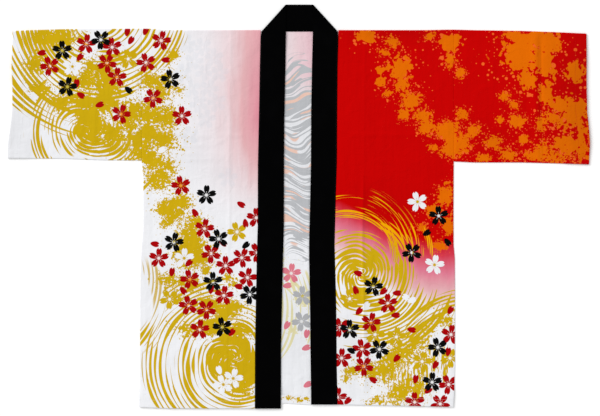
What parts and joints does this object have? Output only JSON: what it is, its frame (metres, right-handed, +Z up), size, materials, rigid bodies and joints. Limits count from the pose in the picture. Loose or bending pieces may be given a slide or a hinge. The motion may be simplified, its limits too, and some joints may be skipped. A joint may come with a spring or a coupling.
{
  "type": "happi coat",
  "caption": "short straight-cut cotton coat with wide open sleeves and a plain collar strip from hem to hem, laid flat with its fronts up",
  "frame": {"origin": "middle of the laid-out coat's outline, on the surface it lies on", "axes": "+Z up off the surface, +Y from the hem to the collar, +X across the coat towards the wearer's left sleeve"},
  "size_m": [1.236, 0.8571, 0.0069],
  "materials": {
    "back_cotton": "printed plain-weave cotton, faded reverse of the print showing",
    "white_cotton": "matt plain-weave cotton, white ground printed with gold, red and black",
    "red_cotton": "matt plain-weave cotton, red ground printed with orange and gold",
    "collar_cotton": "matt black plain-weave cotton"
  },
  "bodies": {
    "root": {"back": "back_cotton", "front_right": "white_cotton", "front_left": "red_cotton", "sleeve_right": "white_cotton", "sleeve_left": "red_cotton", "collar": "collar_cotton"}
  },
  "joints": []
}
